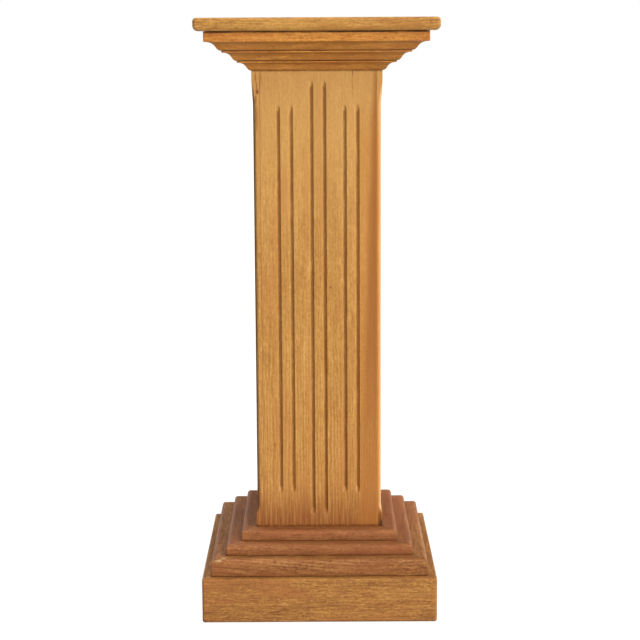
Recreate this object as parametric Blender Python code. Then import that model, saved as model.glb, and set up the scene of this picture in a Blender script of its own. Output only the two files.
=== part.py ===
"""Oak pedestal: a box plinth with three steps, a hollow fluted shaft, and a cornice under a top board.

Metres, +Z up. The origin is at the middle of the footprint, on the floor. The front faces -Y.
"""

import math

import bmesh
import bpy
from mathutils import Matrix

# Clearance between any two boards that touch
GAP = 0.0003

# Base: three steps that each stand out beyond what rises from them, the uppermost round the shaft
BASE_UPPER_LEDGE = 0.0255
BASE_UPPER_HEIGHT = 0.0184
BASE_MIDDLE_LEDGE = 0.0255
BASE_MIDDLE_HEIGHT = 0.0185
BASE_LOWER_LEDGE = 0.0248
BASE_LOWER_HEIGHT = 0.0290
BASE_ROUND = 0.0085

# Plinth: four mitred boards around an empty box, each with the lower step resting on its inner part
PLINTH_LEDGE = 0.0147
PLINTH_BEARING = 0.0083
PLINTH_HEIGHT = 0.0775
PLINTH_ROUND = 0.003

# Shaft: side boards over the full depth, front and back boards between them
SHAFT_WIDTH = 0.2190
SHAFT_SHOWN = 0.7860
SIDE_BOARD = 0.0135
FRONT_BOARD = 0.0180

# Stopped chamfers on the shaft's corners, and the side boards' shallow relief between the same stops
CHAMFER = 0.0048
SIDE_RELIEF = 0.0022
ARRIS = 0.0006
STOP_ABOVE_BASE = 0.0217
TONGUE_LENGTH = 0.0175
STOP_BELOW_CORNICE = 0.0125
RUN_OUT_LENGTH = 0.0500

# Flutes: three pairs on every face
FLUTE_RADIUS = 0.0036
FLUTE_DEPTH = 0.0032
FLUTE_SPACING = 0.0216
PAIR_PITCH = 0.0557
FLUTE_RISE = 0.0130
INNER_FLUTE_BOTTOM = 0.0217
INNER_FLUTE_TOP = 0.0165
OUTER_FLUTE_BOTTOM = 0.0605
OUTER_FLUTE_TOP = 0.0565

# Cornice: three ogee mouldings that each reach out beyond what is below, the lowest round the shaft
CORNICE_LOWER_REACH = 0.0230
CORNICE_LOWER_HEIGHT = 0.0165
CORNICE_MIDDLE_REACH = 0.0240
CORNICE_MIDDLE_HEIGHT = 0.0170
CORNICE_UPPER_REACH = 0.02725
CORNICE_UPPER_HEIGHT = 0.0315
FILLET_HEIGHT = 0.0030
FASCIA_HEIGHT = 0.0170
FASCIA_ROUND = 0.0010
BEAD_WIDTH = 0.0062
BEAD_HEIGHT = 0.0048
FOOT_STEP = 0.0010

# Top board
TOP_OVERHANG = 0.01625
TOP_THICKNESS = 0.0215
TOP_ROUND_ABOVE = 0.0045
TOP_ROUND_BELOW = 0.0070

# Facets of a quarter round, of a flute's section and of each end's rise
ARC_STEPS = 5
FLUTE_SIDES = 14
RISE_STEPS = 4
STOP_STEPS = 6

# Levels, from the floor up
BASE_LOWER_BOTTOM = PLINTH_HEIGHT
BASE_MIDDLE_BOTTOM = BASE_LOWER_BOTTOM + BASE_LOWER_HEIGHT
BASE_UPPER_BOTTOM = BASE_MIDDLE_BOTTOM + BASE_MIDDLE_HEIGHT
BASE_TOP = BASE_UPPER_BOTTOM + BASE_UPPER_HEIGHT
CORNICE_LOWER_BOTTOM = BASE_TOP + SHAFT_SHOWN
CORNICE_MIDDLE_BOTTOM = CORNICE_LOWER_BOTTOM + CORNICE_LOWER_HEIGHT
CORNICE_UPPER_BOTTOM = CORNICE_MIDDLE_BOTTOM + CORNICE_MIDDLE_HEIGHT
TOP_BOTTOM = CORNICE_UPPER_BOTTOM + CORNICE_UPPER_HEIGHT

# Distances of the outer faces from the pedestal's axis, from the shaft outwards
SHAFT_HALF = SHAFT_WIDTH / 2
BASE_UPPER_HALF = SHAFT_HALF + BASE_UPPER_LEDGE
BASE_MIDDLE_HALF = BASE_UPPER_HALF + BASE_MIDDLE_LEDGE
BASE_LOWER_HALF = BASE_MIDDLE_HALF + BASE_LOWER_LEDGE
PLINTH_HALF = BASE_LOWER_HALF + PLINTH_LEDGE
CORNICE_LOWER_HALF = SHAFT_HALF + CORNICE_LOWER_REACH
CORNICE_MIDDLE_HALF = CORNICE_LOWER_HALF + CORNICE_MIDDLE_REACH
CORNICE_UPPER_HALF = CORNICE_MIDDLE_HALF + CORNICE_UPPER_REACH
TOP_HALF = CORNICE_UPPER_HALF + TOP_OVERHANG

# Distances of the inner edges: the frames round the shaft, the step under it, and the plinth's boards
FRAME_HOLE = SHAFT_HALF + GAP
SHAFT_BORE = SHAFT_HALF - FRONT_BOARD
PLINTH_BORE = BASE_LOWER_HALF - PLINTH_BEARING

# The four sides in order, each a quarter turn further round
SIDES = ("front", "right", "back", "left")


def clear_scene():
    for old in list(bpy.data.objects):
        bpy.data.objects.remove(old, do_unlink=True)


def oak(name, colour, roughness):
    """Oak with the base colour and roughness of one group of boards."""
    material = bpy.data.materials.new(name)
    material.use_nodes = True
    shader = material.node_tree.nodes["Principled BSDF"]
    shader.inputs["Base Color"].default_value = (*colour, 1.0)
    shader.inputs["Roughness"].default_value = roughness
    shader.inputs["Metallic"].default_value = 0.0
    return material


def make_object(name, bm, material):
    """Turns a finished bmesh into a named object, with its faces pointing out."""
    bmesh.ops.recalc_face_normals(bm, faces=bm.faces)
    mesh = bpy.data.meshes.new(name)
    bm.to_mesh(mesh)
    bm.free()
    mesh.materials.append(material)
    mesh.shade_smooth()
    mesh.set_sharp_from_angle(angle=math.radians(32))
    piece = bpy.data.objects.new(name, mesh)
    bpy.context.collection.objects.link(piece)
    return piece


def loft(rings):
    """A closed body through rings that all have the same number of corners."""
    bm = bmesh.new()
    made = [[bm.verts.new(point) for point in ring] for ring in rings]
    for low, high in zip(made, made[1:]):
        for here in range(len(low)):
            after = (here + 1) % len(low)
            bm.faces.new((low[here], low[after], high[after], high[here]))
    bm.faces.new(made[0])
    bm.faces.new(made[-1])
    return bm


def quarter(centre, across, up, start):
    """Points of a quarter ellipse around centre, from start degrees through the next 90."""
    points = []
    for step in range(ARC_STEPS + 1):
        angle = math.radians(start + 90 * step / ARC_STEPS)
        points.append((centre[0] + across * math.cos(angle), centre[1] + up * math.sin(angle)))
    return points


def plinth_profile():
    """Outline of a plinth board as (distance from the axis, height)."""
    top = PLINTH_HEIGHT - GAP
    soft = PLINTH_ROUND
    points = [(PLINTH_BORE, 0.0)]
    points += quarter((PLINTH_HALF - soft, soft), soft, soft, -90)
    points += quarter((PLINTH_HALF - soft, top - soft), soft, soft, 0)
    points.append((PLINTH_BORE, top))
    return points


def step_profile(outer, bottom, height, inner):
    """Outline of a base step: an upright face under a rounded top edge and a flat ledge."""
    top = bottom + height - GAP
    points = [(inner, bottom), (outer, bottom)]
    points += quarter((outer - BASE_ROUND, top - BASE_ROUND), BASE_ROUND, BASE_ROUND, 0)
    points.append((inner, top))
    return points


def ogee_profile(outer, bottom, height, face, below):
    """Outline of a cornice moulding: an upright face, a cove under it, and a bead down to what is below."""
    foot = below + FOOT_STEP
    top = bottom + height - GAP
    lip = top - face
    bead_top = bottom + BEAD_HEIGHT
    bead_edge = foot + BEAD_WIDTH
    cove_start = outer - FASCIA_ROUND
    cove_width = cove_start - bead_edge
    cove_height = lip - bead_top
    bead = quarter((foot, bead_top), BEAD_WIDTH, BEAD_HEIGHT, -90)
    cove = quarter((cove_start, bead_top), cove_width, cove_height, 90)
    corner = quarter((cove_start, lip + FASCIA_ROUND), FASCIA_ROUND, FASCIA_ROUND, -90)
    points = [(FRAME_HOLE, bottom)]
    points += bead[:-1]
    points += reversed(cove)
    points += corner[1:]
    points += [(outer, top), (FRAME_HOLE, top)]
    return points


def turn_to(bm, side):
    """Carries a shape made at the front round to the named side."""
    turn = Matrix.Rotation(SIDES.index(side) * math.pi / 2, 4, "Z")
    bmesh.ops.transform(bm, matrix=turn, verts=bm.verts)


def frame_of_strips(name, profile, material):
    """Four strips of one outline around the pedestal, cut at 45 degrees where they meet."""
    mitre_gap = GAP / math.sqrt(2)
    left = [(-out + mitre_gap, -out, height) for out, height in profile]
    right = [(out - mitre_gap, -out, height) for out, height in profile]
    for side in SIDES:
        bm = loft([left, right])
        turn_to(bm, side)
        make_object(f"{name}_{side}", bm, material)


def smooth_step(share):
    share = min(max(share, 0.0), 1.0)
    return share * share * (3 - 2 * share)


def chamfer_share(height):
    """How far the stopped chamfer is cut at a height: 0 beyond its stops, 1 along its length."""
    tongue = (height - BASE_TOP - STOP_ABOVE_BASE) / TONGUE_LENGTH
    run_out = (CORNICE_LOWER_BOTTOM - STOP_BELOW_CORNICE - height) / RUN_OUT_LENGTH
    return smooth_step(tongue) * smooth_step(run_out)


def side_face(height):
    """Distance of a side board's outer face from the axis at a height."""
    return SHAFT_HALF - SIDE_RELIEF * chamfer_share(height)


def side_board_ring(height):
    """Section of a side board as it would lie at the front, with both outer corners chamfered."""
    outer = side_face(height)
    inner = SHAFT_HALF - SIDE_BOARD
    cut = ARRIS + (CHAMFER - ARRIS) * chamfer_share(height)
    corners = [
        (-SHAFT_HALF, -inner),
        (-SHAFT_HALF, cut - outer),
        (cut - SHAFT_HALF, -outer),
        (SHAFT_HALF - cut, -outer),
        (SHAFT_HALF, cut - outer),
        (SHAFT_HALF, -inner),
    ]
    return [(x, y, height) for x, y in corners]


def side_board_levels():
    """Heights of a side board's sections: both ends, and the steps of both stops."""
    tongue_bottom = BASE_TOP + STOP_ABOVE_BASE
    run_out_top = CORNICE_LOWER_BOTTOM - STOP_BELOW_CORNICE
    levels = [BASE_MIDDLE_BOTTOM]
    levels += [tongue_bottom + TONGUE_LENGTH * step / STOP_STEPS for step in range(STOP_STEPS + 1)]
    levels += [run_out_top - RUN_OUT_LENGTH * step / STOP_STEPS for step in range(STOP_STEPS, -1, -1)]
    levels.append(TOP_BOTTOM - GAP)
    return levels


def flute_places():
    """Each flute of a face as (distance from the middle, lower end, upper end)."""
    places = []
    for pair in (-1, 0, 1):
        foot = INNER_FLUTE_BOTTOM if pair == 0 else OUTER_FLUTE_BOTTOM
        head = INNER_FLUTE_TOP if pair == 0 else OUTER_FLUTE_TOP
        for hand in (-0.5, 0.5):
            across = pair * PAIR_PITCH + hand * FLUTE_SPACING
            places.append((across, BASE_TOP + foot, CORNICE_LOWER_BOTTOM - head))
    return places


def flute_body(across, low, high, face):
    """A round bar along a front flute, which rises out of the wood at both ends."""
    shares = [step / RISE_STEPS for step in range(RISE_STEPS + 1)]
    levels = [(low + FLUTE_RISE * share, share) for share in shares]
    levels += [(high - FLUTE_RISE * share, share) for share in reversed(shares)]
    rings = []
    for height, share in levels:
        depth = FLUTE_DEPTH * math.sin(share * math.pi / 2) - GAP * (1 - share)
        middle = face(height) + FLUTE_RADIUS - depth
        ring = []
        for side in range(FLUTE_SIDES):
            angle = 2 * math.pi * side / FLUTE_SIDES
            out = middle - FLUTE_RADIUS * math.cos(angle)
            ring.append((across + FLUTE_RADIUS * math.sin(angle), -out, height))
        rings.append(ring)
    return loft(rings)


def cut_flutes(board, side, face):
    """Cuts the three pairs of flutes into one board of the shaft."""
    joined = bmesh.new()
    for across, low, high in flute_places():
        body = flute_body(across, low, high, face)
        turn_to(body, side)
        bmesh.ops.recalc_face_normals(body, faces=body.faces)
        mesh = bpy.data.meshes.new("flute")
        body.to_mesh(mesh)
        body.free()
        joined.from_mesh(mesh)
        bpy.data.meshes.remove(mesh)
    cutter = make_object(f"{board.name}_flutes", joined, board.data.materials[0])
    cutter.hide_render = True
    cutter.display_type = "WIRE"
    cut = board.modifiers.new("Flutes", "BOOLEAN")
    cut.operation = "DIFFERENCE"
    cut.object = cutter
    cut.solver = "EXACT"


def shaft_face(height):
    """The front and back boards' face, which has no relief."""
    return SHAFT_HALF


def front_board(side, material):
    """A front or back board between the two side boards, flush with their edges."""
    half = SHAFT_HALF - SIDE_BOARD - GAP
    section = [(-half, -SHAFT_HALF), (half, -SHAFT_HALF), (half, -SHAFT_BORE), (-half, -SHAFT_BORE)]
    levels = (BASE_MIDDLE_BOTTOM, TOP_BOTTOM - GAP)
    bm = loft([[(x, y, height) for x, y in section] for height in levels])
    turn_to(bm, side)
    board = make_object(f"shaft_{side}", bm, material)
    cut_flutes(board, side, shaft_face)


def side_board(side, material):
    """A left or right board over the shaft's full depth."""
    bm = loft([side_board_ring(height) for height in side_board_levels()])
    turn_to(bm, side)
    board = make_object(f"shaft_{side}", bm, material)
    cut_flutes(board, side, side_face)


def top_board(material):
    """A square board with rounded edges, softer below than above."""
    high = TOP_BOTTOM + TOP_THICKNESS
    below = TOP_ROUND_BELOW
    above = TOP_ROUND_ABOVE
    outline = quarter((TOP_HALF - below, TOP_BOTTOM + below), below, below, -90)
    outline += quarter((TOP_HALF - above, high - above), above, above, 0)
    rings = []
    for out, height in outline:
        rings.append([(-out, -out, height), (out, -out, height), (out, out, height), (-out, out, height)])
    make_object("top_board", loft(rings), material)


def build():
    clear_scene()
    honey = oak("honey_oak", (0.48, 0.26, 0.10), 0.42)
    russet = oak("russet_oak", (0.38, 0.17, 0.075), 0.45)
    golden = oak("golden_oak", (0.42, 0.21, 0.08), 0.45)

    frame_of_strips("plinth", plinth_profile(), golden)

    steps = (
        ("base_lower", BASE_LOWER_HALF, BASE_LOWER_BOTTOM, BASE_LOWER_HEIGHT, SHAFT_BORE, golden),
        ("base_middle", BASE_MIDDLE_HALF, BASE_MIDDLE_BOTTOM, BASE_MIDDLE_HEIGHT, FRAME_HOLE, russet),
        ("base_upper", BASE_UPPER_HALF, BASE_UPPER_BOTTOM, BASE_UPPER_HEIGHT, FRAME_HOLE, russet),
    )
    for name, outer, bottom, height, inner, material in steps:
        frame_of_strips(name, step_profile(outer, bottom, height, inner), material)

    front_board("front", honey)
    front_board("back", honey)
    side_board("right", honey)
    side_board("left", honey)

    lower = ogee_profile(
        CORNICE_LOWER_HALF, CORNICE_LOWER_BOTTOM, CORNICE_LOWER_HEIGHT, FILLET_HEIGHT, SHAFT_HALF
    )
    middle = ogee_profile(
        CORNICE_MIDDLE_HALF, CORNICE_MIDDLE_BOTTOM, CORNICE_MIDDLE_HEIGHT, FILLET_HEIGHT, CORNICE_LOWER_HALF
    )
    upper = ogee_profile(
        CORNICE_UPPER_HALF, CORNICE_UPPER_BOTTOM, CORNICE_UPPER_HEIGHT, FASCIA_HEIGHT, CORNICE_MIDDLE_HALF
    )
    frame_of_strips("cornice_lower", lower, russet)
    frame_of_strips("cornice_middle", middle, russet)
    frame_of_strips("cornice_upper", upper, golden)

    top_board(honey)


build()
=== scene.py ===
"""Looks of the oak pedestal: finely shaped boards, waxed oak, and a plain white studio."""

import math

import bpy
from mathutils import Euler, Matrix, Vector


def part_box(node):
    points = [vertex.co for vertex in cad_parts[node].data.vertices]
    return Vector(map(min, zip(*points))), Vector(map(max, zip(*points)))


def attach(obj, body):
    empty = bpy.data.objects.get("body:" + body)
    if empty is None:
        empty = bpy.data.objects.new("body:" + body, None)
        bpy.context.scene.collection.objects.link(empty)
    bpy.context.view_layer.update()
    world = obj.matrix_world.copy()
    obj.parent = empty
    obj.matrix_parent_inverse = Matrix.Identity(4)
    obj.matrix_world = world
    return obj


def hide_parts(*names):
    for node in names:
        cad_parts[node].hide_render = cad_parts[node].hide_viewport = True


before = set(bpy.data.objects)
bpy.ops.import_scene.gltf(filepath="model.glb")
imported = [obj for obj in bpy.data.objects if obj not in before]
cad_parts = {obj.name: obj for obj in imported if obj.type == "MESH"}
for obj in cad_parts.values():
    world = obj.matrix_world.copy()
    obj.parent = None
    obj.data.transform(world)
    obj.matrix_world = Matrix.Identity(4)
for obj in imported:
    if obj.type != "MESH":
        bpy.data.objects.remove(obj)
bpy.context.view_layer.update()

# The photograph's camera, in metres and degrees, with its lens and sensor in millimetres
CAMERA_PLACE = (0.003, -2.96, 0.997)
CAMERA_PITCH = 9.74
CAMERA_ROLL = 0.3
CAMERA_LENS = 95.35
SENSOR_WIDTH = 36.0

# Order of the four sides, each a quarter turn further round
SIDES = ("front", "right", "back", "left")

# Fine shape of the boards, in metres
MITRE_GAP = 0.00012
THINNEST = 0.00002
SOFT_EDGE = 0.0005
STEP_ROUND = 0.0085
PLINTH_ROUND = 0.003
PLINTH_FOOT_ROUND = 0.0046
PLINTH_CORNER = 0.0040
STEP_CORNER = 0.0016
CORNICE_CORNER = 0.0020
TOP_CORNER = 0.0050
TOP_CORNER_FADE = 0.4
TOP_CORNER_LEAST = 0.0004
TOP_INSET = (0.02, 0.3, 0.6, 0.85)
TOP_SEGMENTS = 60
TOP_ROUND_ABOVE = 0.0058
TOP_ROUND_BELOW = 0.0088
UNEVEN = 0.00022
WAVER_PITCH = 17.0
WAVER_TURN = 2.399
WAVER_PEAK = 1.84
STRIP_SEGMENTS = 96
SHARP_ANGLE = 38

# Cornice mouldings. The shim closes the slit below the next moulding, and the fill the one beside a board.
FILLET_HEIGHT = 0.0030
FASCIA_HEIGHT = 0.0170
FASCIA_ROUND = 0.0020
FOOT_STEP = 0.0010
SHIM = 0.00025
SHIM_INSET = 0.0040
JOINT_FILL = 0.00020

# The cove and the nose of a cornice moulding, as shares of its reach inwards and of its drop
COVE = ((0.00, 0.00), (0.40, 0.00), (0.58, 0.30), (0.69, 0.58))
NOSE = ((0.69, 0.58), (0.76, 0.76), (0.84, 0.97), (1.00, 1.00))

# Flutes, chamfers and their stops
FLUTE_RADIUS = 0.0040
FLUTE_DEPTH = 0.0038
FLUTE_SPACING = 0.0216
PAIR_PITCH = 0.0557
FLUTE_RISE = 0.0130
INNER_FLUTE_BOTTOM = 0.0217
INNER_FLUTE_TOP = 0.0165
OUTER_FLUTE_BOTTOM = 0.0605
OUTER_FLUTE_TOP = 0.0565
FLUTE_LIP = 0.00045
CHAMFER = 0.0048
SIDE_RELIEF = 0.0022
ARRIS = 0.0006
STOP_ABOVE_BASE = 0.0217
TONGUE_LENGTH = 0.0175
STOP_BELOW_CORNICE = 0.0125
RUN_OUT_LENGTH = 0.0500

# Sections along the shaft
PLAIN_SECTIONS = 60
END_SECTIONS = 12
BESIDE_END = 0.0002
CLOSEST_SECTIONS = 0.00015

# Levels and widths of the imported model
SHAFT_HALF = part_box("shaft_right")[1].x
SHAFT_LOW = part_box("shaft_front")[0].z
SHAFT_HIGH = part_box("shaft_front")[1].z
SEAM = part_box("shaft_right")[0].x
BASE_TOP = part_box("base_upper_front")[1].z
CORNICE_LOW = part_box("cornice_lower_front")[0].z
TOP_LOW, TOP_HIGH = (corner.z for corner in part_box("top_board"))
TONGUE = BASE_TOP + STOP_ABOVE_BASE
RUN_OUT = CORNICE_LOW - STOP_BELOW_CORNICE


def smooth_step(share):
    share = min(max(share, 0.0), 1.0)
    return share * share * (3 - 2 * share)


def waver(place, seed):
    """A slow unevenness between about -1 and 1 along a board."""
    total = 0.0
    for wave in range(1, 4):
        phase = seed * WAVER_TURN * wave + wave * wave
        total += math.sin(place * WAVER_PITCH * wave + phase) / wave
    return total / WAVER_PEAK


def arc(centre, across, up, start, steps):
    """Points of a quarter ellipse, from start degrees through the next 90."""
    points = []
    for step in range(steps + 1):
        angle = math.radians(start + 90 * step / steps)
        points.append((centre[0] + across * math.cos(angle), centre[1] + up * math.sin(angle)))
    return points


def sweep(corners, steps):
    """Points of a cubic curve pulled by four corners, with both ends."""
    points = []
    for step in range(steps + 1):
        share = step / steps
        rest = 1 - share
        weights = (rest ** 3, 3 * rest ** 2 * share, 3 * rest * share ** 2, share ** 3)
        out = sum(weight * corner[0] for weight, corner in zip(weights, corners))
        height = sum(weight * corner[1] for weight, corner in zip(weights, corners))
        points.append((out, height))
    return points


def make_piece(name, rings, side="front"):
    """A closed mesh through rings of points laid out at the front, turned to its side."""
    count = len(rings[0])
    points = [point for ring in rings for point in ring]
    faces = []
    for row in range(len(rings) - 1):
        for here in range(count):
            after = (here + 1) % count
            low = row * count
            high = low + count
            faces.append((low + here, low + after, high + after, high + here))
    faces.append(tuple(reversed(range(count))))
    faces.append(tuple(range((len(rings) - 1) * count, len(rings) * count)))
    mesh = bpy.data.meshes.new(name)
    mesh.from_pydata(points, [], faces)
    mesh.transform(Matrix.Rotation(SIDES.index(side) * math.pi / 2, 4, "Z"))
    mesh.shade_smooth()
    mesh.set_sharp_from_angle(angle=math.radians(SHARP_ANGLE))
    piece = bpy.data.objects.new(name, mesh)
    bpy.context.scene.collection.objects.link(piece)
    return piece


def corner_stations(out, corner, segments, arc_steps):
    """Points (x, y) along a board's front edge, from mitre to mitre, with its ends rounded to 45 degrees."""
    straight = out - corner
    end = straight + corner / math.sqrt(2) - MITRE_GAP
    half = []
    for step in range(arc_steps, 0, -1):
        angle = math.radians(45 * step / arc_steps)
        x = min(straight + corner * math.sin(angle), end)
        half.append((x, straight + corner * math.cos(angle)))
    left = [(-x, -y) for x, y in half]
    right = [(x, -y) for x, y in reversed(half)]
    straight = min(straight, end)
    middle = []
    for step in range(segments + 1):
        middle.append((straight * (2 * step / segments - 1), -out))
    return left + middle + right


def strip_rings(profile, inner, outer, corner, segments, seed):
    """Rings of a mitred strip: its profile at each station, slightly uneven along its length."""
    lines = []
    for out, height in profile:
        reach = (out - inner) / (outer - inner)
        rounding = max(corner - (outer - out), THINNEST)
        stations = corner_stations(out, rounding, segments, 4)
        line = []
        for x, y in stations:
            worn = UNEVEN * reach * (1 + waver(x, seed)) / 2
            line.append((x * (1 - worn / out), y + worn, height))
        lines.append(line)
    return [[line[station] for line in lines] for station in range(len(lines[0]))]


def soft_corner(point, radius, start, steps=3):
    """A rounded corner whose square point is given."""
    across = -radius if start in (0, 270) else radius
    up = -radius if start in (0, 90) else radius
    return arc((point[0] + across, point[1] + up), radius, radius, start, steps)


def plinth_profile(low, high, inner, outer):
    """The outline (out, height) of a plinth board."""
    points = [(inner, low)]
    points += soft_corner((outer, low), PLINTH_FOOT_ROUND, 270, 6)
    points += soft_corner((outer, high), PLINTH_ROUND, 0, 6)
    points.append((inner, high))
    return points


def step_profile(low, high, inner, outer):
    """The outline of a step: sharp below and broadly rounded above."""
    points = [(inner, low)]
    points += soft_corner((outer, low), SOFT_EDGE, 270)
    points += soft_corner((outer, high), STEP_ROUND, 0, 12)
    points.append((inner, high))
    return points


def ogee_profile(low, high, inner, outer, face, below):
    """The outline of a cornice moulding: an upright face, a cove and a nose that ends over the piece below."""
    foot = below + FOOT_STEP
    lip = high - face
    edge = min(FASCIA_ROUND, face * 0.4)
    start = outer - edge
    cove, nose = (
        [(start - across * (start - foot), lip - down * (lip - low)) for across, down in shares]
        for shares in (COVE, NOSE)
    )
    points = [(inner, low)]
    points += sweep(nose, 8)[::-1]
    points += sweep(cove, 10)[-2::-1]
    points += arc((start, lip + edge), edge, edge, -90, 4)[1:]
    points += soft_corner((outer, high), SOFT_EDGE, 0)
    points.append((outer - SHIM_INSET, high + SHIM))
    points.append((inner, high + SHIM))
    return points


def strip_box(node):
    """A front strip's lowest and highest level, and its inner and outer distance from the axis."""
    low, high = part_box(node)
    return low.z, high.z, -high.y, -low.y


def frame_of_strips(name, profile, corner, dress):
    """Four strips around the pedestal, each standing for its own solid."""
    _, _, inner, outer = strip_box(f"{name}_front")
    for number, side in enumerate(SIDES):
        node = f"{name}_{side}"
        rings = strip_rings(profile, inner, outer, corner, STRIP_SEGMENTS, number + len(name))
        dress(make_piece(f"{node}_board", rings, side), node)


def flute_ends():
    """Each flute of a face as (distance from the middle, lower end, upper end)."""
    places = []
    for pair in (-1, 0, 1):
        foot = INNER_FLUTE_BOTTOM if pair == 0 else OUTER_FLUTE_BOTTOM
        head = INNER_FLUTE_TOP if pair == 0 else OUTER_FLUTE_TOP
        for hand in (-0.5, 0.5):
            across = pair * PAIR_PITCH + hand * FLUTE_SPACING
            places.append((across, BASE_TOP + foot, CORNICE_LOW - head))
    return places


def flute_depth(height, low, high):
    """Depth of a flute at a height: it rises out of the wood at both ends."""
    share = min((height - low) / FLUTE_RISE, (high - height) / FLUTE_RISE, 1.0)
    if share <= 0:
        return 0.0
    return FLUTE_DEPTH * math.sin(share * math.pi / 2)


def fluted_line(height, half, face, flats=4, turns=12):
    """Points (x, out) across a fluted face at a height, from -half to half."""
    points = []
    start = -half
    for across, low, high in flute_ends():
        depth = flute_depth(height, low, high)
        cut = max(depth, THINNEST)
        reach = math.acos((FLUTE_RADIUS - cut) / FLUTE_RADIUS)
        width = FLUTE_RADIUS * math.sin(reach)
        lip = FLUTE_LIP * min(depth / FLUTE_LIP / 4, 1.0)
        edge = width + lip + THINNEST / 2
        for step in range(flats):
            points.append((start + (across - edge - start) * step / flats, face))
        points.append((across - edge, face))
        for turn in range(turns + 1):
            angle = reach * (2 * turn / turns - 1)
            sunk = FLUTE_RADIUS * math.cos(angle) - FLUTE_RADIUS + cut
            sunk = max(sunk, lip) if depth else 0.0
            points.append((across + FLUTE_RADIUS * math.sin(angle), face - sunk))
        start = across + edge
    for step in range(flats + 1):
        points.append((start + (half - start) * step / flats, face))
    return points


def shaft_levels():
    """Heights of the shaft's sections: close at the ends of flutes and chamfers, wider between."""
    levels = set()
    for step in range(PLAIN_SECTIONS + 1):
        levels.add(SHAFT_LOW + (SHAFT_HIGH - SHAFT_LOW) * step / PLAIN_SECTIONS)
    for _, low, high in flute_ends():
        for step in range(END_SECTIONS + 1):
            levels.add(low + FLUTE_RISE * (step / END_SECTIONS) ** 2)
            levels.add(high - FLUTE_RISE * (step / END_SECTIONS) ** 2)
        levels.add(low - BESIDE_END)
        levels.add(high + BESIDE_END)
    for step in range(END_SECTIONS + 1):
        levels.add(TONGUE + TONGUE_LENGTH * step / END_SECTIONS)
        levels.add(RUN_OUT - RUN_OUT_LENGTH * step / END_SECTIONS)
    ordered = sorted(levels)
    kept = [ordered[0]]
    for level in ordered[1:]:
        if level - kept[-1] > CLOSEST_SECTIONS:
            kept.append(level)
    return kept


def chamfer_share(height):
    """How far the stopped chamfer is cut at a height: 0 beyond its stops, 1 along its length."""
    return smooth_step((height - TONGUE) / TONGUE_LENGTH) * smooth_step((RUN_OUT - height) / RUN_OUT_LENGTH)


def front_board(side, dress):
    """A fluted board between the two side boards."""
    low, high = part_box("shaft_front")
    half = high.x + JOINT_FILL
    rings = []
    for height in shaft_levels():
        line = fluted_line(height, half, SHAFT_HALF)
        ring = [(x, -out, height) for x, out in line]
        ring.append((half, high.y, height))
        ring.append((-half, high.y, height))
        rings.append(ring)
    dress(make_piece(f"shaft_{side}_board", rings, side), f"shaft_{side}")


def side_board(side, dress):
    """A fluted board over the shaft's full depth, with stopped chamfers on its corners."""
    rings = []
    for height in shaft_levels():
        share = chamfer_share(height)
        face = SHAFT_HALF - SIDE_RELIEF * share
        cut = ARRIS + (CHAMFER - ARRIS) * share
        line = fluted_line(height, SHAFT_HALF - cut, face)
        left = [(-SHAFT_HALF, out) for out in (-SEAM, -(SEAM + face - cut) / 2, cut - face)]
        right = [(-x, y) for x, y in reversed(left)]
        flat = left + [(x, -out) for x, out in line] + right
        rings.append([(x, y, height) for x, y in flat])
    dress(make_piece(f"shaft_{side}_board", rings, side), f"shaft_{side}")


def rounded_square(out, corner, height, along, steps):
    """A square of half width out with rounded corners, in the order of its points."""
    points = []
    straight = out - corner
    for quarter in range(4):
        turn = Matrix.Rotation(quarter * math.pi / 2, 2)
        for step in range(along + 1):
            place = turn @ Vector((straight * (2 * step / along - 1), -out))
            points.append((place[0], place[1], height))
        for step in range(1, steps):
            angle = math.radians(-90 + 90 * step / steps)
            x = straight + corner * math.cos(angle)
            y = -straight + corner * math.sin(angle)
            place = turn @ Vector((x, y))
            points.append((place[0], place[1], height))
    return points


def top_board(dress):
    """The square top with rounded edges, softer below than above."""
    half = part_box("top_board")[1].x
    outline = [(half * share, TOP_LOW) for share in TOP_INSET]
    outline += soft_corner((half, TOP_LOW), TOP_ROUND_BELOW, 270, 10)
    outline += soft_corner((half, TOP_HIGH), TOP_ROUND_ABOVE, 0, 8)
    outline += [(half * share, TOP_HIGH) for share in reversed(TOP_INSET)]
    rings = []
    for out, height in outline:
        corner = max(TOP_CORNER - (half - out) * TOP_CORNER_FADE, TOP_CORNER_LEAST)
        ring = []
        for x, y, z in rounded_square(out, corner, height, TOP_SEGMENTS, 6):
            worn = UNEVEN * (1 + waver(x, 3) * waver(y, 5)) / 2 * out / half
            ring.append((x * (1 - worn / half), y * (1 - worn / half), z))
        rings.append(ring)
    dress(make_piece("top_board_board", rings), "top_board")


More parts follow.
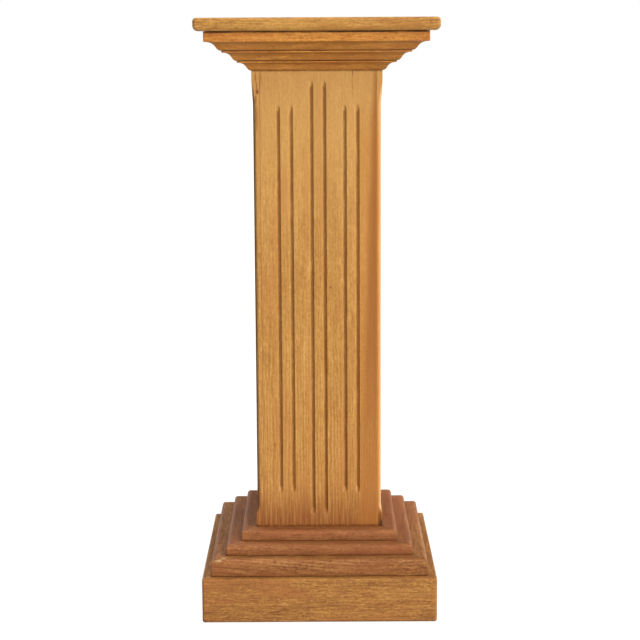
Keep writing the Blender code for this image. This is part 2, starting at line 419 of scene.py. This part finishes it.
class Nodes:
    """Short calls that build one node tree."""

    def __init__(self, owner):
        owner.use_nodes = True
        self.tree = owner.node_tree
        self.tree.nodes.clear()

    def add(self, kind, inputs=(), **settings):
        node = self.tree.nodes.new(kind)
        for name, value in settings.items():
            setattr(node, name, value)
        for key, value in dict(inputs).items():
            self.give(node.inputs[key], value)
        return node

    def give(self, socket, value):
        """Links an output to the socket, or sets a plain value."""
        if isinstance(value, bpy.types.NodeSocket):
            self.tree.links.new(value, socket)
        else:
            socket.default_value = value

    def math(self, operation, first, second=0.0, third=0.0, clamp=False):
        node = self.add("ShaderNodeMath", operation=operation, use_clamp=clamp)
        for socket, value in zip(node.inputs, (first, second, third)):
            self.give(socket, value)
        return node.outputs[0]

    def combine(self, x, y, z):
        return self.add("ShaderNodeCombineXYZ", {"X": x, "Y": y, "Z": z}).outputs[0]

    def noise(self, vector, detail=2.0, roughness=0.5):
        inputs = {"Vector": vector, "Scale": 1.0, "Detail": detail, "Roughness": roughness}
        return self.add("ShaderNodeTexNoise", inputs).outputs["Fac"]

    def remap(self, value, low, high, to_low=0.0, to_high=1.0):
        """Carries low to high smoothly onto to_low to to_high, held at both ends."""
        node = self.add("ShaderNodeMapRange", interpolation_type="SMOOTHSTEP")
        for socket, number in zip(node.inputs, (value, low, high, to_low, to_high)):
            self.give(socket, number)
        return node.outputs[0]

    def mix(self, first, second, share):
        node = self.add("ShaderNodeMix", data_type="RGBA", blend_type="MIX")
        self.give(node.inputs["Factor"], share)
        self.give(node.inputs[6], first)
        self.give(node.inputs[7], second)
        return node.outputs[2]


def colour(red, green, blue):
    return (red, green, blue, 1.0)


# Linear reflectance of what shows in single places. Several carry painted shade, and the rubbed pale a painted
# highlight.
HEART = colour(0.184, 0.062, 0.011)
FOOT = colour(0.135, 0.036, 0.007)
GOLD = colour(0.275, 0.102, 0.015)
# Dark seam line, and painted shade at the foot of the steps and the plinth
SEAM_AND_SHADE = colour(0.098, 0.031, 0.008)
# Painted shade in the coves
COVE_PAINTED_SHADE = colour(0.172, 0.064, 0.010)
# Painted shade deep in the flutes and just under the cornice
DEEP_PAINTED_SHADE = colour(0.125, 0.035, 0.002)
# Rubbed pale wear with a painted highlight, on the chamfers
RUBBED_AND_HIGHLIGHT = colour(0.385, 0.240, 0.130)
PORE = colour(0.095, 0.030, 0.008)
# Painted shade at joints, under overhangs, at the floor and on the front's left chamfer; also two dark spots at
# corners
GRIME_AND_SHADE = colour(0.045, 0.015, 0.004)
# Knots, and the painted shade at the shaft's foot
KNOT_AND_SHADE = colour(0.095, 0.026, 0.003)
STREAK = colour(0.185, 0.060, 0.007)
SCUFF = colour(0.410, 0.271, 0.139)

# How each kind of board looks. The colours are linear reflectances. Ring, fleck and streaks are strengths,
# spacing and wave are metres, flame is how strongly the growth rings arch, and gloss is the specular level.
KINDS = {
    "shaft": {
        "pale": colour(0.370, 0.203, 0.060), "mid": colour(0.277, 0.133, 0.030),
        "deep": colour(0.194, 0.077, 0.014), "red": colour(0.253, 0.103, 0.024),
        "ring": 0.14, "spacing": 0.0052, "wave": 0.0035, "fleck": 0.22, "flame": 0.0, "streaks": 0.8,
        "gloss": 0.14,
    },
    "top": {
        "pale": colour(0.371, 0.201, 0.050), "mid": colour(0.266, 0.128, 0.025),
        "deep": colour(0.146, 0.054, 0.010), "red": colour(0.223, 0.085, 0.016),
        "ring": 0.16, "spacing": 0.0060, "wave": 0.0050, "fleck": 0.35, "flame": 0.6, "streaks": 0.9,
        "gloss": 0.18,
    },
    "step": {
        "pale": colour(0.229, 0.093, 0.032), "mid": colour(0.161, 0.058, 0.017),
        "deep": colour(0.101, 0.031, 0.009), "red": colour(0.170, 0.051, 0.017),
        "ring": 0.12, "spacing": 0.0050, "wave": 0.0030, "fleck": 0.45, "flame": 0.2, "streaks": 1.0,
        "gloss": 0.13,
    },
    "lower": {
        "pale": colour(0.253, 0.119, 0.038), "mid": colour(0.171, 0.066, 0.018),
        "deep": colour(0.101, 0.032, 0.009), "red": colour(0.170, 0.055, 0.017),
        "ring": 0.30, "spacing": 0.0060, "wave": 0.0070, "fleck": 0.60, "flame": 1.0, "streaks": 1.1,
        "gloss": 0.13,
    },
    "plinth": {
        "pale": colour(0.284, 0.136, 0.034), "mid": colour(0.195, 0.083, 0.019),
        "deep": colour(0.115, 0.041, 0.010), "red": colour(0.190, 0.063, 0.017),
        "ring": 0.16, "spacing": 0.0052, "wave": 0.0060, "fleck": 0.80, "flame": 0.5, "streaks": 1.1,
        "gloss": 0.13,
    },
    "cornice": {
        "pale": colour(0.437, 0.193, 0.038), "mid": colour(0.333, 0.129, 0.020),
        "deep": colour(0.210, 0.068, 0.010), "red": colour(0.289, 0.091, 0.016),
        "ring": 0.16, "spacing": 0.0045, "wave": 0.0030, "fleck": 0.50, "flame": 0.2, "streaks": 1.1,
        "gloss": 0.15,
    },
}

# Patterns of the wood: repeats a metre along and across the grain, shift, detail and roughness
BEND = (5.0, 16.0, 0.0, 2.0, 0.5)
RIPPLE = (26.0, 60.0, 3.0, 2.0, 0.5)
RING_WIDTH = (3.0, 90.0, 7.0, 3.0, 0.5)
CLOUDS = (6.0, 26.0, 19.0, 3.0, 0.6)
FLECKS = (62.0, 600.0, 29.0, 2.0, 0.5)
PORES = (150.0, 2600.0, 31.0, 2.0, 0.5)
# Patches that break up the painted shade
SHADE_PATCHES = (30.0, 110.0, 37.0, 3.0, 0.6)

# Streaks from broad to fine, as (pattern, strength)
STREAKS = (
    ((4.0, 22.0, 11.0, 2.0, 0.6), 0.60),
    ((12.0, 80.0, 13.0, 2.0, 0.6), 0.65),
    ((30.0, 230.0, 17.0, 2.0, 0.6), 0.90),
    ((60.0, 520.0, 23.0, 2.0, 0.6), 0.90),
    ((170.0, 330.0, 27.0, 2.0, 0.6), 1.30),
    ((380.0, 560.0, 33.0, 2.0, 0.6), 0.90),
)

# Growth rings: the arches' radians a metre and reach, the ripple's reach, the slant into the board, how far
# the rings drift, how narrow their dark part is, and the share of it that keeps the tone level
ARCH_PITCH = 11.0
ARCH_REACH = 0.012
RIPPLE_REACH = 0.0012
RING_SLANT = 0.6
RING_DRIFT = 9.0
LATE_WOOD = 1.8
RING_BALANCE = 0.35

# How far each board's pattern is moved along, across and into the grain
BOARD_STEPS = (0.73, 0.137, 0.211)
GRAIN_ORDER = {"X": (0, 2, 1), "Y": (1, 2, 0), "Z": (2, 0, 1)}

# Where the soft patterns begin and end, and how strong they get
RED_RANGE = (0.44, 0.72, 0.0, 0.65)
FLECK_RANGE = (0.56, 0.70)
PORE_RANGE = (0.60, 0.74)
SHADE_PATCH_RANGE = (0.25, 0.60, 0.35, 1.0)
ROUGHNESS_RANGE = (0.30, 0.70, 0.50, 0.58)
FLECK_SHARE = 0.6
PORE_SHARE = 0.30
RELIEF_LATE = 0.25
RELIEF_PORES = -0.8
RELIEF_FLECKS = -0.6
RELIEF_STRENGTH = 0.5
RELIEF_HEIGHT = 0.0002

# Spots: the share of the reach where they begin to fade, and the size and depth of their ragged edge
BLOT_START = 0.35
BLOT_PITCH = 1.6
BLOT_DETAIL = 3.0
BLOT_RAGGED = 0.5

# The shaft's own tones, as (from, to, share at from, share at to), with shares 0 and 1 where none are given.
# Places are metres, those of the foot's lines are levels of their noise, and pitches are repeats a metre.
RING_STRENGTH = (0.16, 0.60, 3.6, 0.8)
# The head is paler, partly painted light that offsets the shade under the cornice
PALE_AND_LIT_HEAD = (0.55, 0.92, 0.0, 0.48)
RED_FOOT = (0.14, 0.45, 0.30, 0.0)
DARK_FOOT = (BASE_TOP, BASE_TOP + 0.085, 1.0, 0.0)
FOOT_LINES = (0.38, 0.62, 0.45, 1.0)
FOOT_LINES_PITCH_ACROSS = 420.0
FOOT_LINES_PITCH_ALONG = 14.0
FRONT_FACE = (-0.104, -0.100, 1.0, 0.0)
HEART_EDGE = 0.0655
HEART_LEAN = 0.030
HEART_WANDER = 0.010
HEART_WANDER_PITCH = 9.0
HEART_START = (-0.006, 0.008)
HEART_END = (0.0990, 0.1015, 1.0, 0.0)
HEART_FADE = (0.22, 0.50, 0.40, 0.85)
GOLD_START = (0.060, 0.080, 0.0, 0.45)
GOLD_END = (0.80, 0.90, 1.0, 0.0)
SEAM_SHADE = (0.0003, 0.0010, 0.35, 0.0)
SEAM_FACES = (0.1000, 0.1020)
CHAMFER_TONE = (0.1046, 0.1053, 0.0, 0.80)
CHAMFER_FOOT = (TONGUE, TONGUE + TONGUE_LENGTH)
CHAMFER_HEAD = (RUN_OUT - RUN_OUT_LENGTH, RUN_OUT, 1.0, 0.0)
FRONT_LEFT_CORNER = (-0.15, -0.05)

# Painted shade at joints, in hollows and under overhangs, partly also a dark joint line, as (reach from where
# it is full to where it is gone, strength, colour)
STRIP_FOOT_SHADE = (0.0080, 0.45, SEAM_AND_SHADE)
STRIP_JOINT_AND_SHADE = (0.0016, 0.75, GRIME_AND_SHADE)
LEDGE_SHADE = (0.0030, 0.55, GRIME_AND_SHADE)
PLINTH_FOOT_SHADE = (0.0080, 0.35, SEAM_AND_SHADE)
PLINTH_FLOOR_SHADE = (0.0030, 0.50, GRIME_AND_SHADE)
PLINTH_LEDGE_SHADE = (0.0030, 0.65, GRIME_AND_SHADE)
NOSE_SHADE = (0.0022, 0.80, GRIME_AND_SHADE)
LIP_SHADE = (0.0009, 0.60, COVE_PAINTED_SHADE)
LIP_SHADE_BELOW = 0.0003
SHAFT_FOOT_SHADE = (0.0043, 1.00, KNOT_AND_SHADE)
SHAFT_FOOT_SHADE_ABOVE = 0.0012
SHAFT_HEAD_SHADE = (-0.0034, 0.90, DEEP_PAINTED_SHADE)
FLUTE_HOLLOW_SHADE = (0.0006, 0.70, DEEP_PAINTED_SHADE)
TOP_EDGE_SHADE = (0.0012, 0.50, GRIME_AND_SHADE)
JOINT_STRENGTH = 0.95
JOINT_FULL = 0.10

# Spots that the photograph shows, as (centre, reach, colour, strength)
MARKS = {
    "shaft_left": (
        ((-0.1000, -0.1095, 0.8945), (0.0044, 0.004, 0.0075), HEART, 0.70),
        ((-0.0997, -0.1095, 0.8940), (0.0023, 0.004, 0.0033), KNOT_AND_SHADE, 1.00),
        ((-0.1028, -0.1095, 0.9180), (0.0018, 0.004, 0.0130), STREAK, 0.80),
        ((-0.1008, -0.1095, 0.9030), (0.0018, 0.004, 0.0110), STREAK, 0.85),
        ((-0.1022, -0.1095, 0.8815), (0.0018, 0.004, 0.0110), STREAK, 0.95),
        ((-0.1010, -0.1095, 0.8500), (0.0030, 0.004, 0.0300), HEART, 0.60),
    ),
    "shaft_front": (
        ((-0.0938, -0.1095, 0.9180), (0.0018, 0.004, 0.0130), STREAK, 0.65),
        ((-0.0955, -0.1095, 0.9050), (0.0016, 0.004, 0.0100), STREAK, 0.70),
        ((0.0217, -0.1095, 0.5640), (0.0018, 0.004, 0.0028), KNOT_AND_SHADE, 0.90),
        ((-0.0760, -0.1095, 0.2900), (0.0016, 0.004, 0.0024), KNOT_AND_SHADE, 0.85),
        ((0.0592, -0.1095, 0.9270), (0.0010, 0.004, 0.0110), KNOT_AND_SHADE, 0.85),
        ((0.0588, -0.1095, 0.9050), (0.0010, 0.004, 0.0280), KNOT_AND_SHADE, 0.35),
    ),
    "shaft_right": (
        ((0.1035, -0.1090, 0.1540), (0.0022, 0.006, 0.0200), KNOT_AND_SHADE, 0.75),
        ((0.1066, -0.1085, 0.1560), (0.0034, 0.009, 0.0210), KNOT_AND_SHADE, 0.85),
        ((0.1080, -0.1085, 0.1450), (0.0062, 0.009, 0.0140), GRIME_AND_SHADE, 1.00),
    ),
    "base_upper_front": (
        ((0.0180, -0.1340, 0.1360), (0.0120, 0.004, 0.0030), KNOT_AND_SHADE, 0.55),
        ((-0.0370, -0.1340, 0.1350), (0.0140, 0.004, 0.0030), KNOT_AND_SHADE, 0.45),
    ),
    "base_lower_front": (
        ((-0.1720, -0.1800, 0.1040), (0.0090, 0.006, 0.0022), SCUFF, 0.55),
        ((-0.1640, -0.1740, 0.1060), (0.0070, 0.005, 0.0020), SCUFF, 0.50),
    ),
    "plinth_front": (
        ((-0.0035, -0.2000, 0.0640), (0.0026, 0.004, 0.0016), KNOT_AND_SHADE, 0.85),
        ((-0.1960, -0.1980, 0.0030), (0.0040, 0.004, 0.0028), GRIME_AND_SHADE, 0.90),
    ),
}


def blot(nodes, parts, centre, reach):
    """A patch that is full at its centre and gone at its reach, with a ragged edge."""
    square = 0.0
    for part, middle, size in zip(parts, centre, reach):
        offset = nodes.math("DIVIDE", nodes.math("SUBTRACT", part, middle), size)
        square = nodes.math("MULTIPLY_ADD", offset, offset, square)
    distance = nodes.math("SQRT", square)
    place = nodes.combine(parts[0], parts[1], parts[2])
    inputs = {"Vector": place, "Scale": BLOT_PITCH / min(reach)}
    fine = nodes.add("ShaderNodeVectorMath", inputs, operation="SCALE").outputs[0]
    distance = nodes.math("MULTIPLY_ADD", nodes.noise(fine, BLOT_DETAIL), BLOT_RAGGED, distance)
    return nodes.remap(distance, BLOT_START + BLOT_RAGGED / 2, 1.0 + BLOT_RAGGED / 2, 1.0, 0.0)


def oak(name, kind, grain, seed, shade_bands, marks):
    """Waxed oak. grain is the axis that it runs along, the bands of painted shade darken it towards joints,
    hollows and overhangs, and marks are spots.

    Each band of painted shade is (coordinate, where it is full, where it is gone, strength, colour), where the
    coordinate is
    "z" or "out", the distance from the pedestal's axis. Each mark is (centre, reach, colour, strength).
    """
    look = KINDS[kind]
    material = bpy.data.materials.new(name)
    nodes = Nodes(material)
    place = nodes.add("ShaderNodeTexCoord").outputs["Object"]
    parts = nodes.add("ShaderNodeSeparateXYZ", {"Vector": place}).outputs
    along, across, deep = (
        nodes.math("ADD", parts[axis], step * seed) for axis, step in zip(GRAIN_ORDER[grain], BOARD_STEPS)
    )

    def pattern(lengthwise, sideways, shift, detail, roughness):
        """Noise of that many repeats a metre along and across the grain."""
        stretched = nodes.combine(
            nodes.math("MULTIPLY_ADD", along, lengthwise, shift),
            nodes.math("MULTIPLY", across, sideways),
            nodes.math("MULTIPLY", deep, sideways),
        )
        return nodes.noise(stretched, detail, roughness)

    bend = nodes.math("MULTIPLY_ADD", pattern(*BEND), 2 * look["wave"], -look["wave"])
    ripple = nodes.math("MULTIPLY_ADD", pattern(*RIPPLE), 2 * RIPPLE_REACH, -RIPPLE_REACH)
    bend = nodes.math("ADD", bend, ripple)
    across = nodes.math("ADD", across, bend)
    deep = nodes.math("ADD", deep, bend)

    # Growth rings: straight across the board, and arched where the board is cut off the heart
    arch = nodes.math("SINE", nodes.math("MULTIPLY", along, ARCH_PITCH))
    arch = nodes.math("MULTIPLY", arch, ARCH_REACH * look["flame"])
    rings = nodes.math("ADD", nodes.math("MULTIPLY_ADD", deep, RING_SLANT, across), arch)
    rings = nodes.math("MULTIPLY", rings, 2 * math.pi / look["spacing"])
    rings = nodes.math("MULTIPLY_ADD", pattern(*RING_WIDTH), RING_DRIFT, rings)
    rings = nodes.math("MULTIPLY_ADD", nodes.math("SINE", rings), 0.5, 0.5)
    late = nodes.math("POWER", rings, LATE_WOOD)

    # Tone from deep at 0 to pale at 1: streaks from broad to fine, and the rings
    tone = 0.5
    for shape, strength in STREAKS:
        strength = strength * look["streaks"]
        tone = nodes.math("ADD", tone, nodes.math("MULTIPLY_ADD", pattern(*shape), strength, -0.5 * strength))
    ringed = nodes.math("MULTIPLY_ADD", late, -look["ring"], RING_BALANCE * look["ring"])
    if kind == "shaft":
        ringed = nodes.math("MULTIPLY", ringed, nodes.remap(parts[2], *RING_STRENGTH))
    tone = nodes.math("ADD", tone, ringed, clamp=True)
    ramp = nodes.add("ShaderNodeValToRGB", {"Fac": tone})
    stops = ramp.color_ramp.elements
    stops[0].color = look["deep"]
    stops[1].color = look["pale"]
    stops.new(0.5).color = look["mid"]
    base = ramp.outputs["Color"]

    clouds = pattern(*CLOUDS)
    base = nodes.mix(base, look["red"], nodes.remap(clouds, *RED_RANGE))
    flecks = nodes.remap(pattern(*FLECKS), *FLECK_RANGE)
    pores = nodes.remap(pattern(*PORES), *PORE_RANGE)
    base = nodes.mix(base, PORE, nodes.math("MULTIPLY", flecks, look["fleck"] * FLECK_SHARE))
    base = nodes.mix(base, PORE, nodes.math("MULTIPLY", pores, PORE_SHARE))

    if kind == "shaft":
        base = shaft_tones(nodes, parts, base, look)
    out = nodes.math("MAXIMUM", nodes.math("ABSOLUTE", parts[0]), nodes.math("ABSOLUTE", parts[1]))
    coordinates = {"z": parts[2], "out": out}
    patches = nodes.remap(pattern(*SHADE_PATCHES), *SHADE_PATCH_RANGE)
    # Bands of painted shade near joints, in hollows and under overhangs, broken into patches
    for coordinate, full, gone, strength, shade in shade_bands:
        near = nodes.remap(coordinates[coordinate], min(full, gone), max(full, gone))
        if full < gone:
            near = nodes.math("SUBTRACT", 1.0, near)
        near = nodes.math("MULTIPLY", nodes.math("MULTIPLY", near, patches), strength)
        base = nodes.mix(base, shade, near)
    for centre, reach, shade, strength in marks:
        share = nodes.math("MULTIPLY", blot(nodes, parts, centre, reach), strength)
        base = nodes.mix(base, shade, share)

    relief = nodes.math("MULTIPLY", pores, RELIEF_PORES)
    relief = nodes.math("ADD", nodes.math("MULTIPLY", late, RELIEF_LATE), relief)
    relief = nodes.math("ADD", relief, nodes.math("MULTIPLY", flecks, RELIEF_FLECKS))
    inputs = {"Strength": RELIEF_STRENGTH, "Distance": RELIEF_HEIGHT, "Height": relief}
    bump = nodes.add("ShaderNodeBump", inputs)
    shader = nodes.add("ShaderNodeBsdfPrincipled")
    nodes.give(shader.inputs["Base Color"], base)
    nodes.give(shader.inputs["Roughness"], nodes.remap(clouds, *ROUGHNESS_RANGE))
    nodes.give(shader.inputs["Normal"], bump.outputs[0])
    shader.inputs["Specular IOR Level"].default_value = look["gloss"]
    output = nodes.add("ShaderNodeOutputMaterial")
    nodes.give(output.inputs["Surface"], shader.outputs[0])
    return material


def shaft_tones(nodes, parts, base, look):
    """The shaft's head is paler, partly in its wood and partly as painted light that offsets the shade under
    the cornice; its foot is redder, and a strip of heartwood runs up its front's right side.
    """
    x, y, z = parts
    # Paler head: wood tone and painted light
    base = nodes.mix(base, look["pale"], nodes.remap(z, *PALE_AND_LIT_HEAD))
    base = nodes.mix(base, look["red"], nodes.remap(z, *RED_FOOT))
    foot = nodes.remap(z, *DARK_FOOT)
    lines = nodes.combine(
        nodes.math("MULTIPLY", x, FOOT_LINES_PITCH_ACROSS),
        nodes.math("MULTIPLY", y, FOOT_LINES_PITCH_ACROSS),
        nodes.math("MULTIPLY", z, FOOT_LINES_PITCH_ALONG),
    )
    lines = nodes.remap(nodes.noise(lines), *FOOT_LINES)
    base = nodes.mix(base, FOOT, nodes.math("MULTIPLY", foot, lines))

    # Golden wood that turns into the heartwood towards the corner
    front = nodes.remap(y, *FRONT_FACE)
    golden = nodes.math("MULTIPLY", nodes.remap(x, *GOLD_START), front)
    golden = nodes.math("MULTIPLY", golden, nodes.remap(z, *GOLD_END))
    base = nodes.mix(base, GOLD, golden)
    edge = nodes.math("MULTIPLY_ADD", z, HEART_LEAN, HEART_EDGE)
    wander = nodes.noise(nodes.combine(0.0, 0.0, nodes.math("MULTIPLY", z, HEART_WANDER_PITCH)))
    edge = nodes.math("MULTIPLY_ADD", wander, HEART_WANDER, nodes.math("SUBTRACT", edge, HEART_WANDER / 2))
    strip = nodes.remap(nodes.math("SUBTRACT", x, edge), *HEART_START)
    strip = nodes.math("MULTIPLY", strip, nodes.remap(x, *HEART_END))
    strip = nodes.math("MULTIPLY", nodes.math("MULTIPLY", strip, front), nodes.remap(z, *HEART_FADE))
    base = nodes.mix(base, HEART, strip)

    # The joint line inside the left corners
    seam = nodes.remap(nodes.math("ABSOLUTE", nodes.math("ADD", x, SEAM)), *SEAM_SHADE)
    wall = nodes.remap(nodes.math("ABSOLUTE", y), *SEAM_FACES)
    base = nodes.mix(base, SEAM_AND_SHADE, nodes.math("MULTIPLY", seam, wall))

    # The chamfers: painted shade at the front's left, and rubbed pale wear with a painted highlight at the
    # others
    narrow = nodes.math("MINIMUM", nodes.math("ABSOLUTE", x), nodes.math("ABSOLUTE", y))
    share = nodes.remap(narrow, *CHAMFER_TONE)
    share = nodes.math("MULTIPLY", share, nodes.remap(z, *CHAMFER_HEAD))
    share = nodes.math("MULTIPLY", share, nodes.remap(z, *CHAMFER_FOOT))
    worn = nodes.mix(GRIME_AND_SHADE, RUBBED_AND_HIGHLIGHT, nodes.remap(nodes.math("ADD", x, y), *FRONT_LEFT_CORNER))
    return nodes.mix(base, worn, share)


def dresser(kind, shade_bands, grain=None):
    """A call that gives a piece its oak and puts it in the place of its solid."""

    def dress(piece, node):
        side = node.rsplit("_", 1)[-1]
        number = SIDES.index(side) if side in SIDES else 0
        axis = grain or ("X" if side in ("front", "back") else "Y")
        seed = 1 + number + 4 * len(node)
        piece.data.materials.append(oak(f"{node}_oak", kind, axis, seed, shade_bands, MARKS.get(node, ())))
        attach(piece, "root")
        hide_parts(node)

    return dress


def painted_shade(coordinate, start, kind):
    """Painted shade that is full at start and gone after its reach, as oak takes it."""
    reach, strength, shade = kind
    return coordinate, start, start + reach, strength, shade


def build_plinth():
    low, high, inner, outer = strip_box("plinth_front")
    next_out = strip_box("base_lower_front")[3]
    # Painted shade on the ledge beside the lowest step and at the foot by the floor
    shade_bands = (
        painted_shade("out", next_out, PLINTH_LEDGE_SHADE),
        painted_shade("z", low, PLINTH_FOOT_SHADE),
        painted_shade("z", low, PLINTH_FLOOR_SHADE),
    )
    profile = plinth_profile(low, high, inner, outer)
    frame_of_strips("plinth", profile, PLINTH_CORNER, dresser("plinth", shade_bands))


def build_steps():
    for name, kind, slot, above in (
        ("base_lower", "lower", "golden_oak", "base_middle_front"),
        ("base_middle", "step", "russet_oak", "base_upper_front"),
        ("base_upper", "step", "russet_oak", None),
    ):
        low, high, inner, outer = strip_box(f"{name}_front")
        next_out = strip_box(above)[3] if above else SHAFT_HALF
        # Painted shade at the foot of each step and on its ledge beside the riser above, with a dark joint line
        # along the foot
        shade_bands = (
            painted_shade("z", low, STRIP_FOOT_SHADE),
            painted_shade("z", low, STRIP_JOINT_AND_SHADE),
            painted_shade("out", next_out, LEDGE_SHADE),
        )
        profile = step_profile(low, high, inner, outer)
        frame_of_strips(name, profile, STEP_CORNER, dresser(kind, shade_bands))


def build_cornice():
    """The three mouldings. Painted shade fills the top of each face, under the moulding or board above, down to
    a share of the face's height.
    """
    below = SHAFT_HALF
    for name, face, joint_gone, slot in (
        ("cornice_lower", FILLET_HEIGHT, 0.45, "russet_oak"),
        ("cornice_middle", FILLET_HEIGHT, 0.45, "russet_oak"),
        ("cornice_upper", FASCIA_HEIGHT, 0.19, "golden_oak"),
    ):
        low, high, inner, outer = strip_box(f"{name}_front")
        # Painted shade along the nose's foot, over the cove and nose below the lip, and at the top of the face
        shade_bands = (
            painted_shade("z", low, NOSE_SHADE),
            painted_shade("z", high - face - LIP_SHADE_BELOW, LIP_SHADE),
            ("z", high - face * JOINT_FULL, high - face * joint_gone, JOINT_STRENGTH, GRIME_AND_SHADE),
        )
        profile = ogee_profile(low, high, inner, outer, face, below)
        frame_of_strips(name, profile, CORNICE_CORNER, dresser("cornice", shade_bands))
        below = outer


def build_shaft():
    # Painted shade at the shaft's foot, just under the cornice and deep in the flutes
    shade_bands = (
        painted_shade("z", BASE_TOP + SHAFT_FOOT_SHADE_ABOVE, SHAFT_FOOT_SHADE),
        painted_shade("z", CORNICE_LOW, SHAFT_HEAD_SHADE),
        painted_shade("out", SHAFT_HALF - FLUTE_DEPTH, FLUTE_HOLLOW_SHADE),
    )
    dress = dresser("shaft", shade_bands, "Z")
    front_board("front", dress)
    front_board("back", dress)
    side_board("right", dress)
    side_board("left", dress)


def build_pedestal():
    build_plinth()
    build_steps()
    build_cornice()
    build_shaft()
    # The top board gets painted shade along its lower edge
    top_board(dresser("top", (painted_shade("z", TOP_LOW, TOP_EDGE_SHADE),), "X"))


# The studio: the floor's half width, grey and glow, and the surround by height and by side
FLOOR_REACH = 40.0
FLOOR_GREY = 0.12
FLOOR_ROUGHNESS = 0.9
FLOOR_GLOW = 0.88
SURROUND_TOP = (0.138, 0.19)
SURROUND_SIDES = (-0.6, 0.6, 0.04, 0.30)

# Far lights, as (name, azimuth to the right of the front, height, spread, strength, tint), in degrees
LIGHTS = (
    ("key", 42.0, 11.0, 22.0, 4.4, (1.0, 0.985, 0.96)),
    ("window", 80.0, 8.0, 40.0, 1.1, (1.0, 1.0, 1.0)),
    ("overhead", 58.0, 64.0, 70.0, 4.2, (1.0, 1.0, 1.0)),
    ("behind", 225.0, 44.0, 40.0, 2.6, (1.0, 1.0, 1.0)),
)


def far_light(name, azimuth, height, spread, strength, tint):
    """A soft light from far off."""
    data = bpy.data.lights.new(name, "SUN")
    data.angle = math.radians(spread)
    data.energy = strength
    data.color = tint
    light = bpy.data.objects.new(name, data)
    light.rotation_euler = Euler((math.radians(90 - height), 0.0, math.radians(azimuth)))
    bpy.context.scene.collection.objects.link(light)


def white_floor():
    mesh = bpy.data.meshes.new("floor")
    corners = [(-1, -1), (1, -1), (1, 1), (-1, 1)]
    mesh.from_pydata([(x * FLOOR_REACH, y * FLOOR_REACH, 0) for x, y in corners], [], [(0, 1, 2, 3)])
    floor = bpy.data.objects.new("floor", mesh)
    bpy.context.scene.collection.objects.link(floor)
    material = bpy.data.materials.new("white_floor")
    material.use_nodes = True
    shader = material.node_tree.nodes["Principled BSDF"]
    shader.inputs["Base Color"].default_value = colour(FLOOR_GREY, FLOOR_GREY, FLOOR_GREY)
    shader.inputs["Roughness"].default_value = FLOOR_ROUGHNESS
    shader.inputs["Specular IOR Level"].default_value = 0.0
    shader.inputs["Emission Color"].default_value = colour(1.0, 1.0, 1.0)
    shader.inputs["Emission Strength"].default_value = FLOOR_GLOW
    floor.data.materials.append(material)


def surround():
    """White around the horizon, and dimmer above, more so at the left."""
    world = bpy.data.worlds.new("studio")
    bpy.context.scene.world = world
    nodes = Nodes(world)
    direction = nodes.add("ShaderNodeTexCoord").outputs["Generated"]
    parts = nodes.add("ShaderNodeSeparateXYZ", {"Vector": direction}).outputs
    high = nodes.remap(parts[2], *SURROUND_TOP)
    side = nodes.remap(parts[0], *SURROUND_SIDES)
    strength = nodes.math("ADD", nodes.math("MULTIPLY", high, side), nodes.math("SUBTRACT", 1.0, high))
    background = nodes.add("ShaderNodeBackground", {"Strength": strength})
    background.inputs["Color"].default_value = colour(1.0, 1.0, 1.0)
    output = nodes.add("ShaderNodeOutputWorld")
    nodes.give(output.inputs["Surface"], background.outputs[0])


def studio():
    white_floor()
    surround()
    for light in LIGHTS:
        far_light(*light)


def camera():
    """The photograph's view."""
    data = bpy.data.cameras.new("camera")
    data.lens = CAMERA_LENS
    data.sensor_width = SENSOR_WIDTH
    eye = bpy.data.objects.new("camera", data)
    eye.location = CAMERA_PLACE
    turned = Matrix.Rotation(math.radians(90 - CAMERA_PITCH), 3, "X")
    rolled = Matrix.Rotation(math.radians(-CAMERA_ROLL), 3, "Z")
    eye.rotation_euler = (turned @ rolled).to_euler()
    bpy.context.scene.collection.objects.link(eye)
    bpy.context.scene.camera = eye
    bpy.context.scene.view_settings.view_transform = "Standard"


build_pedestal()
studio()
camera()
